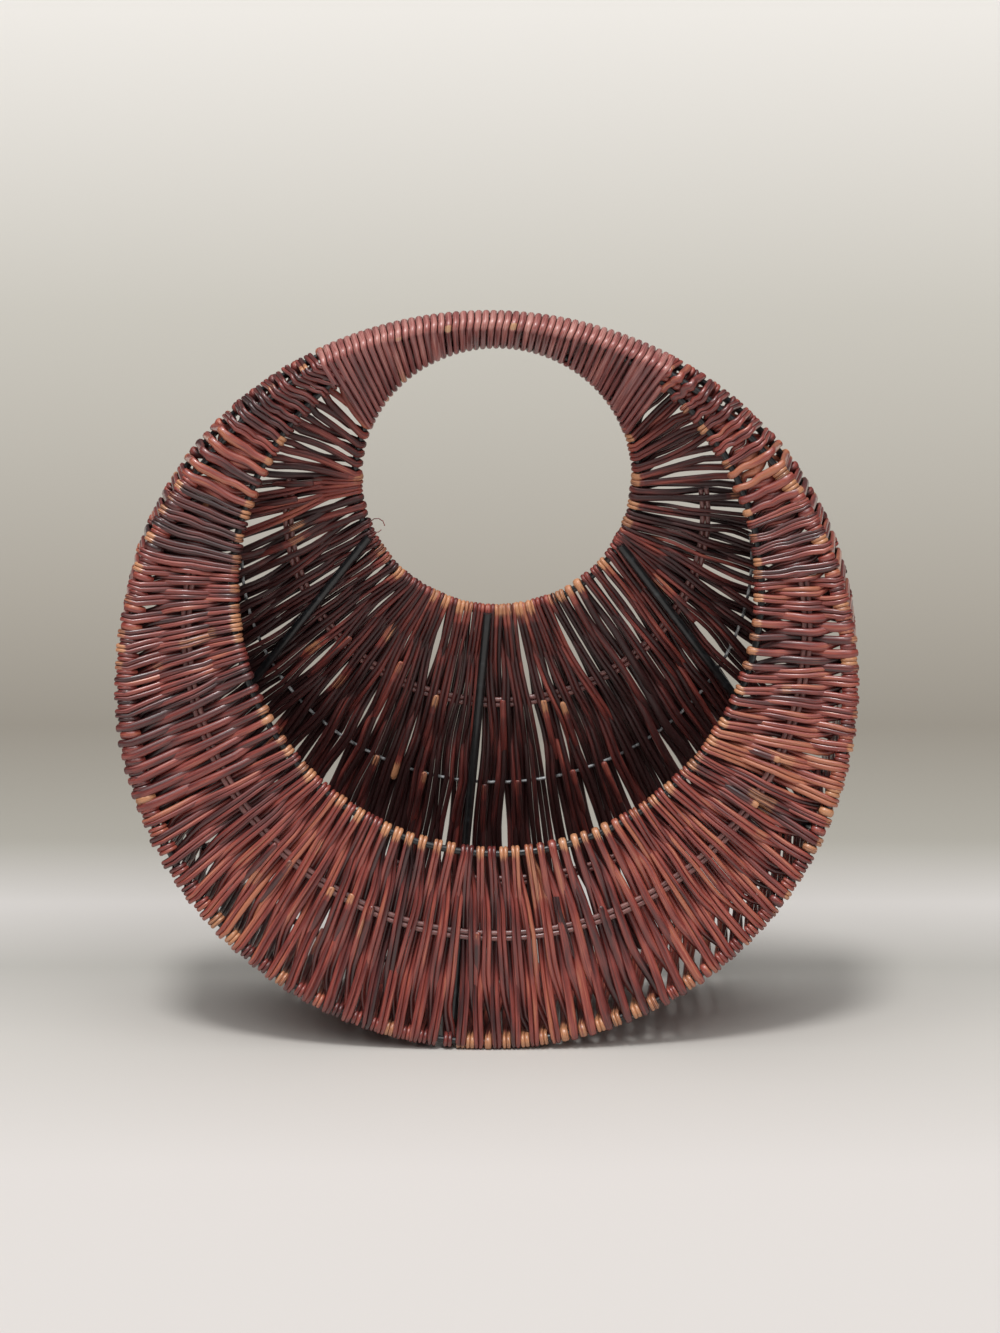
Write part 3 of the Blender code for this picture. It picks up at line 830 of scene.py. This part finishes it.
def ring_strand(ring, radius, span, number, grow=0.0, closed=False):
    """A wire or rod along a ring, or along a part of it."""
    first, last = span
    count = number if closed else number + 1
    steps = []
    for place in range(count):
        degrees = first + (last - first) * place / number
        steps.append(step(ring.point(degrees, grow), ring.side.way(0.0, 0.0, 1.0)))
    return Strand(steps, radius, radius)


def eased_bend(before, corner, after):
    """Points of the bend that a strut's wire makes at a ring."""
    first = corner + (before - corner).normalized() * STRUT_BEND
    last = corner + (after - corner).normalized() * STRUT_BEND
    bend = []
    for count in range(BEND_STEPS + 1):
        share = count / BEND_STEPS
        bend.append(first.lerp(corner, share).lerp(corner.lerp(last, share), share))
    return bend


def strut_strand(station):
    """A strut, from the hand ring down the back, under the band and up to the mouth ring."""
    outer = OUTER_STRUTS[station]
    top_back = HAND_RING.point(HAND_STRUTS[station], out=-STRUT_SEAT)
    low_back = BACK_RING.point(outer, -STRUT_SEAT, -STRUT_SEAT)
    low_front = FRONT_RING.point(outer, -STRUT_SEAT, -STRUT_SEAT)
    top_front = MOUTH_RING.point(MOUTH_STRUTS[station], out=-STRUT_SEAT)
    points = [
        top_back,
        *eased_bend(top_back, low_back, low_front),
        *eased_bend(low_back, low_front, top_front),
        top_front,
    ]
    sideways = FRONT_RING.along(outer)
    return Strand([step(point, sideways) for point in points], STRUT_WIRE, STRUT_WIRE)


def mouth_degrees(hand, outer):
    """The angle at which the mouth ring passes between the hand ring and the front ring."""
    low, high = -120.0, -240.0
    reach = outer - hand
    for _ in range(24):
        middle = (low + high) / 2
        place = MOUTH_RING.point(middle) - hand
        if reach.x * place.z > reach.z * place.x:
            low = middle
        else:
            high = middle
    return middle


def grip_place(share, turn):
    """Where the cane lies on the four wires of the handle, and the way the handle runs."""
    outer = GRIP_OUTER[0] + (GRIP_OUTER[1] - GRIP_OUTER[0]) * share
    hand = GRIP_HAND[0] + (GRIP_HAND[1] - GRIP_HAND[0]) * share
    hand_point = HAND_RING.point(hand)
    front_point = FRONT_RING.point(outer)
    mouth = mouth_degrees(hand_point, front_point)
    wires = [
        (ring.point(degrees), -ring.along(degrees))
        for ring, degrees in (
            (BACK_RING, outer),
            (FRONT_RING, outer),
            (MOUTH_RING, mouth),
            (HAND_RING, hand),
        )
    ]
    up = (front_point - hand_point).normalized()
    level = Vector((0.0, -1.0, 0.0))
    forward = (level - up * level.dot(up)).normalized()
    outward = forward * math.cos(turn) + up * math.sin(turn)
    centre, along = max(wires, key=lambda wire: wire[0].dot(outward))
    outward = (outward - along * along.dot(outward)).normalized()
    return centre + outward * CANE_SEAT, outward, along


class Cane(Strand):
    """The grip's cane: half round, and as wide as the next turn leaves it."""

    def __init__(self, track):
        self.tone = CANE_TONE
        self.axes = []
        length = 0.0
        for number, (place, outward, along) in enumerate(track):
            near = number + GRIP_SIDES if number + GRIP_SIDES < len(track) else number - GRIP_SIDES
            width = abs((track[near][0] - place).dot(along)) / 2
            length += (place - track[max(number - 1, 0)][0]).length
            self.axes.append((place, along, outward, length, width))

    def corner(self, number, share):
        """The section is flat towards the wires. Light and shade are painted on it: lighter on
        top, darker below.
        """
        place, along, outward, length, width = self.axes[number]
        angle = math.tau * share
        wide = width * CANE_FILL * math.cos(angle)
        deep = CANE_THICKNESS * math.sin(angle)
        if deep < 0:
            deep *= CANE_FLATNESS
        grain = Vector((wide, deep, length)) * MILLIMETRES
        turn, angle = divmod(number / GRIP_SIDES, 1.0)
        low, high, rubbed = GRIP_WEAR.get(int(turn), (0.0, 0.0, 0.0))
        # Painted light and shade: the full tone on top, darker below and at the sides
        wear_and_shade = 0.40 * ease(math.sin(math.tau * angle), -0.2, 0.9) - 0.40
        if low < angle < high:
            wear_and_shade = rubbed
        return place + along * wide + outward * deep, grain, wear_and_shade


def grip_strand():
    """The one length of cane that is wound round all four wires."""
    track = [
        grip_place(number / (GRIP_TURNS * GRIP_SIDES), math.tau * number / GRIP_SIDES)
        for number in range(GRIP_TURNS * GRIP_SIDES + 1)
    ]
    return Cane(track)


def add(tree, kind, links=None, **settings):
    """One shader node with its settings, and its inputs linked or set."""
    node = tree.nodes.new(kind)
    for name, value in settings.items():
        setattr(node, name, value)
    for name, value in (links or {}).items():
        socket = node.inputs[name]
        if isinstance(value, bpy.types.NodeSocket):
            tree.links.new(value, socket)
        else:
            socket.default_value = value
    return node


def start_material(name):
    """A new material, its node tree and its one shader."""
    material = bpy.data.materials.new(name)
    material.use_nodes = True
    tree = material.node_tree
    return material, tree, tree.nodes["Principled BSDF"]


def set_ramp(node, stops):
    """The colours of a ramp, from their places on it and their sRGB hex values."""
    elements = node.color_ramp.elements
    while len(elements) < len(stops):
        elements.new(0.5)
    for element, (place, colour) in zip(elements, stops):
        element.position = place
        element.color = linear(colour)


# Patterns on willow, per millimetre across, through and along the strand. Its fibres are
# finer than a picture shows, so they are drawn coarser, as streaks of about 0.45 by 22 mm.
# The stain has taken unevenly, in patches of about 4 by 29 mm.
FIBRES_PER_MM = (2.2, 2.2, 0.045)
PATCHES_PER_MM = (0.25, 0.25, 0.035)
FIBRE_RELIEF = 0.0004
WOOD_IOR = 1.5
LACQUER_ROUGHNESS = 0.22

# Specks on enamelled wire, per metre: about 4 mm apart
SPECKS_PER_METRE = 260.0


def willow(name, stops, roughness, tan, lacquer=0.75):
    """Stained willow under a thin lacquer, tan where a bend has lost its stain, darker where shade
    is painted.

    To the eye: a dark red satin strand with fine streaks along it, lighter and darker by
    turns, a narrow shine, and pale tan knuckles with ragged edges that follow the fibre.
    """
    material, tree, shader = start_material(name)
    grain = add(tree, "ShaderNodeAttribute", attribute_name="grain").outputs["Vector"]
    tone = add(tree, "ShaderNodeAttribute", attribute_name="tone").outputs["Fac"]
    wear_and_shade = add(tree, "ShaderNodeAttribute", attribute_name="wear_and_shade").outputs["Fac"]
    patterns = []
    for per_mm, detail in ((FIBRES_PER_MM, 3.0), (PATCHES_PER_MM, 2.0)):
        place = add(tree, "ShaderNodeMapping", {"Vector": grain, "Scale": per_mm})
        links = {"Vector": place.outputs["Vector"], "Scale": 1.0, "Detail": detail}
        patterns.append(add(tree, "ShaderNodeTexNoise", links).outputs["Fac"])
    fibre, patch = patterns

    # The colour: the strand's own tone, darker where shade is painted, patches and streaks
    shade = add(tree, "ShaderNodeMath", {0: wear_and_shade, 1: 0.0}, operation="MINIMUM").outputs[0]
    shade = add(tree, "ShaderNodeMath", {0: tone, 1: shade}, operation="ADD").outputs[0]
    for pattern, swing in ((patch, 1.3), (fibre, 1.1)):
        swung = add(
            tree, "ShaderNodeMath", {0: pattern, 1: swing, 2: -swing / 2}, operation="MULTIPLY_ADD"
        ).outputs[0]
        shade = add(tree, "ShaderNodeMath", {0: shade, 1: swung}, operation="ADD").outputs[0]
    ramp = add(tree, "ShaderNodeValToRGB", {"Fac": shade})
    set_ramp(ramp, stops)

    # Bare willow shows first along the fibres that stand proud
    rub = add(
        tree, "ShaderNodeMath", {0: fibre, 1: 1.6, 2: -0.95}, operation="MULTIPLY_ADD"
    ).outputs[0]
    rub = add(tree, "ShaderNodeMath", {0: rub, 1: wear_and_shade}, operation="ADD").outputs[0]
    rub = add(
        tree, "ShaderNodeMapRange", {"Value": rub, "From Min": 0.30, "From Max": 0.62}
    ).outputs["Result"]
    colour = add(
        tree,
        "ShaderNodeMix",
        {"Factor": rub, 6: ramp.outputs["Color"], 7: linear(tan)},
        data_type="RGBA",
    ).outputs[2]
    tree.links.new(colour, shader.inputs["Base Color"])

    # Satin, a little duller along the same fibres, which the bump raises
    gloss = add(
        tree,
        "ShaderNodeMapRange",
        {"Value": fibre, "To Min": roughness - 0.08, "To Max": roughness + 0.14},
    ).outputs["Result"]
    tree.links.new(gloss, shader.inputs["Roughness"])
    bump = add(
        tree, "ShaderNodeBump", {"Height": fibre, "Strength": 0.40, "Distance": FIBRE_RELIEF}
    )
    tree.links.new(bump.outputs["Normal"], shader.inputs["Normal"])
    shader.inputs["IOR"].default_value = WOOD_IOR
    shader.inputs["Coat Weight"].default_value = lacquer
    shader.inputs["Coat Roughness"].default_value = LACQUER_ROUGHNESS
    return material


def enamelled_steel(name, stops):
    """Black enamelled steel wire, bright where the enamel has worn thin.

    To the eye: nearly black, with a thin line of light along it and lighter specks.
    """
    material, tree, shader = start_material(name)
    place = add(tree, "ShaderNodeTexCoord").outputs["Object"]
    specks = add(
        tree, "ShaderNodeTexNoise", {"Vector": place, "Scale": SPECKS_PER_METRE, "Detail": 4.0}
    ).outputs["Fac"]
    ramp = add(tree, "ShaderNodeValToRGB", {"Fac": specks})
    set_ramp(ramp, stops)
    tree.links.new(ramp.outputs["Color"], shader.inputs["Base Color"])
    gloss = add(
        tree, "ShaderNodeMapRange", {"Value": specks, "To Min": 0.22, "To Max": 0.45}
    ).outputs["Result"]
    tree.links.new(gloss, shader.inputs["Roughness"])
    shader.inputs["Coat Weight"].default_value = 0.3
    shader.inputs["Coat Roughness"].default_value = 0.2
    return material


# Split willow of the front: brick red with a satin shine, orange tan where it is bare
WEAVE_STOPS = (
    (0.00, "#331819"), (0.25, "#522322"), (0.50, "#7A322C"), (0.75, "#9E4A3F"),
    (1.00, "#B87052"),
)
WEAVE = willow("stained_willow_weave", WEAVE_STOPS, 0.36, "#CB8E66")

# The same willow in the back, with less lacquer: duller; its two darkest stops are darker, as
# painted shade in the pocket
BACK_STOPS = (
    (0.00, "#301313"), (0.25, "#4E201F"), (0.50, "#7A342D"), (0.75, "#9E4A3F"),
    (1.00, "#B87052"),
)
BACK_WEAVE = willow("stained_willow_back_weave", BACK_STOPS, 0.44, "#CB8E66", lacquer=0.25)

# The same willow in the band, a trace duller than round the mouth; and round rods, greyer
BASE = willow("stained_willow_base", WEAVE_STOPS, 0.38, "#C78A62")
ROD_STOPS = ((0.0, "#452626"), (0.5, "#7C4B47"), (1.0, "#9A6A61"))
RODS = willow("stained_willow_rod", ROD_STOPS, 0.42, "#C99066")

# Cane of the grip, polished by hands, with the sharpest highlights; painted rose on top and darker
# below, as light and shade
GRIP_STOPS = ((0.0, "#42201F"), (0.4, "#804443"), (0.7, "#A8645E"), (1.0, "#CC9288"))
GRIP = willow("wound_cane", GRIP_STOPS, 0.24, "#D0A27A")

# Wire of the rings and struts, whole; and the thin brace wire, rubbed through to bare steel in
# light grey patches, which are partly painted highlights
WIRE_STOPS = ((0.35, "#121315"), (0.62, "#1E2022"), (0.80, "#3B4043"))
WIRE = enamelled_steel("enamelled_steel_wire", WIRE_STOPS)
BRACE_STOPS = ((0.38, "#17181A"), (0.48, "#6E7173"), (0.60, "#B4B7B8"))
BRACE_STEEL = enamelled_steel("brace_wire_worn_and_painted_glints", BRACE_STOPS)


# The two sheets of weave
FRONT_SHEET = Sheet(
    MOUTH_RING,
    FRONT_RING,
    FRONT_FAN,
    [Crossed(FRONT_ROD, FRONT_ROD_SPAN, ROD_LIFT)],
    first_side=1,
    leg_steps=16,
    splay=1.20,
    thins=0.0,
    sway=0.14,
    depth=0.0,
)
BACK_SHEET = Sheet(
    HAND_RING,
    BACK_RING,
    BACK_FAN,
    [
        Crossed(BACK_ROD, BACK_ROD_SPAN, ROD_LIFT),
        Crossed(BRACE, BRACE_SPAN, BRACE_LIFT),
        Crossed(LOW_ROD, LOW_ROD_SPAN, ROD_LIFT),
    ],
    first_side=-1,
    leg_steps=24,
    splay=1.36,
    thins=0.36,
    sway=0.27,
    depth=0.46,
)

# Where every element lies, and where its strands pass over the outer rings
FRONT_PLACES = [spread(FRONT_ENDS, FRONT_COUNTS, quarter) for quarter in range(4)]
BACK_PLACES = [spread(BACK_ENDS, BACK_COUNTS, quarter) for quarter in range(4)]
FRONT_KNUCKLES = [
    [[FRONT_SHEET.outer_angle(turn + half * pitch) for half in (0.0, 0.5)] for turn in turns]
    for turns, pitch in FRONT_PLACES
]
WRAPS = [BACK_SHEET.outer_angle(turn) for turns, _ in BACK_PLACES for turn in turns]
PLACED = in_gaps(
    WRAPS,
    [
        back_angle(degrees) if abs(degrees) > OVER_BAND else knuckle
        for knuckles in FRONT_KNUCKLES
        for degrees, knuckle in knuckles
    ],
)
BACK_KNUCKLES = []
for count in FRONT_COUNTS:
    BACK_KNUCKLES.append(PLACED[:count])
    PLACED = PLACED[count:]

# The willow, a quarter at a time
for quarter, place in enumerate(QUARTERS):
    front, band = weave_front(quarter)
    node = "front_weave_" + place
    add_piece("front_willow_" + place, front, 8, WEAVE, node)
    node = "base_weave_" + place
    add_piece("base_willow_" + place, band, 8, BASE, node)
    back = weave_back(quarter)
    node = "back_weave_" + place
    add_piece("back_willow_" + place, back, 8, BACK_WEAVE, node)

# Cut ends and loose fibres, which no solid stands for
for name, sheet, rows, material in (
    ("front_cut_ends", FRONT_SHEET, FRONT_CUTS, WEAVE),
    ("back_cut_ends", BACK_SHEET, BACK_CUTS, BACK_WEAVE),
):
    add_piece(name, [cut_end(sheet, *row) for row in rows], 10, material)
loose = split_strand() + [curl(*row) for row in CURLS]
add_piece("loose_fibres", loose, 6, WEAVE)

# Rings, brace wire, rods, struts and the grip
WHOLE = (0.0, 360.0)
for node, ring, number in (
    ("back_outer_ring", BACK_RING, 160),
    ("front_outer_ring", FRONT_RING, 160),
    ("mouth_ring", MOUTH_RING, 140),
    ("hand_ring", HAND_RING, 100),
):
    strand = ring_strand(ring, RING_WIRE, WHOLE, number, closed=True)
    add_piece(node + "_wire", [strand], 12, WIRE, node, closed=True)
brace = ring_strand(BRACE, BRACE_WIRE, BRACE_SPAN, 90)
add_piece("brace_wire", [brace], 10, BRACE_STEEL, "back_brace_wire")
for pair, ring, span in (
    ("front_rod", FRONT_ROD, FRONT_ROD_SPAN),
    ("back_rod", BACK_ROD, BACK_ROD_SPAN),
    ("back_low_rod", LOW_ROD, LOW_ROD_SPAN),
):
    for edge, grow in (("_inner", -ROD_OFFSET), ("_outer", ROD_OFFSET)):
        rod = ring_strand(ring, ROD_FULLNESS * ROD, span, 90, grow)
        node = pair + edge
        add_piece(node + "_willow", [rod], 10, RODS, node)
for station, name in enumerate(("left", "centre", "right")):
    node = "strut_" + name
    add_piece(node + "_wire", [strut_strand(station)], 12, WIRE, node)
add_piece("grip_winding", [grip_strand()], 10, GRIP, "handle_binding")


# The camera: what it looks at, its angle above level, its distance and its lens
CAMERA_TARGET = Vector((0.007, 0.0, 0.2263))
CAMERA_ELEVATION = math.radians(14.0)
CAMERA_DISTANCE = 1.9
CAMERA_LENS = 83.18

# Pale backdrop paper, from far to near: how low it shows in the picture, and its shade
PAPER_STOPS = (
    (0.07, "#DFDBD5"), (0.26, "#BCB8AF"), (0.45, "#9F998F"), (0.54, "#8C867C"),
    (0.62, "#A29E95"), (0.665, "#C8C4C0"), (0.71, "#B1AEA8"), (0.76, "#C4C0BA"),
    (0.86, "#D3CECA"),
)

# Lamps: degrees to the right of the front, degrees up, strength, and how wide they are
LAMPS = {
    "key_lamp": (-30, 78, 2.05, 84),
    "gloss_lamp": (-20, 72, 1.50, 12),
    "fill_lamp": (25, 35, 0.30, 40),
}
SKY = "#E9EAEC"
SKY_STRENGTH = 0.10


def studio_floor():
    """Matt paper laid flat, in soft bands of shade as where a paper sweep bends up."""
    mesh = bmesh.new()
    bmesh.ops.create_grid(mesh, x_segments=1, y_segments=1, size=30.0)
    data = bpy.data.meshes.new("studio_floor")
    mesh.to_mesh(data)
    mesh.free()
    material, tree, shader = start_material("backdrop_paper")
    place = add(tree, "ShaderNodeTexCoord").outputs["Object"]
    depth = add(tree, "ShaderNodeSeparateXYZ", {"Vector": place}).outputs["Y"]
    # Twice the camera's height over the distance from it: even steps are even in the picture
    distance = CAMERA_DISTANCE * math.cos(CAMERA_ELEVATION)
    height = CAMERA_TARGET.z + CAMERA_DISTANCE * math.sin(CAMERA_ELEVATION)
    away = add(tree, "ShaderNodeMath", {0: depth, 1: distance}, operation="ADD").outputs[0]
    low = add(tree, "ShaderNodeMath", {0: 2 * height, 1: away}, operation="DIVIDE").outputs[0]
    ramp = add(tree, "ShaderNodeValToRGB", {"Fac": low})
    set_ramp(ramp, PAPER_STOPS)
    tree.links.new(ramp.outputs["Color"], shader.inputs["Base Color"])
    shader.inputs["Roughness"].default_value = 0.8
    shader.inputs["Specular IOR Level"].default_value = 0.2
    data.materials.append(material)
    floor = bpy.data.objects.new("studio_floor", data)
    bpy.context.scene.collection.objects.link(floor)


def soft_lamp(name, azimuth, elevation, strength, spread):
    """A wide, distant lamp: soft shadows and one even level over the whole basket."""
    lamp = bpy.data.lights.new(name, "SUN")
    lamp.energy = strength
    lamp.angle = math.radians(spread)
    piece = bpy.data.objects.new(name, lamp)
    turned, up = math.radians(azimuth), math.radians(elevation)
    toward = Vector(
        (math.sin(turned) * math.cos(up), -math.cos(turned) * math.cos(up), math.sin(up))
    )
    piece.rotation_mode = "QUATERNION"
    piece.rotation_quaternion = toward.to_track_quat("Z", "Y")
    bpy.context.scene.collection.objects.link(piece)


def studio_sky():
    """Faint even light from all round."""
    world = bpy.data.worlds.new("studio")
    world.use_nodes = True
    background = world.node_tree.nodes["Background"]
    background.inputs["Color"].default_value = linear(SKY)
    background.inputs["Strength"].default_value = SKY_STRENGTH
    bpy.context.scene.world = world


def stand_camera():
    """The camera in front of the basket, at the photo's angle."""
    back = Vector((0.0, -math.cos(CAMERA_ELEVATION), math.sin(CAMERA_ELEVATION)))
    data = bpy.data.cameras.new("camera")
    data.lens = CAMERA_LENS
    camera = bpy.data.objects.new("camera", data)
    camera.rotation_mode = "QUATERNION"
    camera.location = CAMERA_TARGET + back * CAMERA_DISTANCE
    camera.rotation_quaternion = back.to_track_quat("Z", "Y")
    bpy.context.scene.collection.objects.link(camera)
    bpy.context.scene.camera = camera


studio_floor()
for name, setting in LAMPS.items():
    soft_lamp(name, *setting)
studio_sky()
stand_camera()
bpy.context.scene.view_settings.view_transform = "Standard"
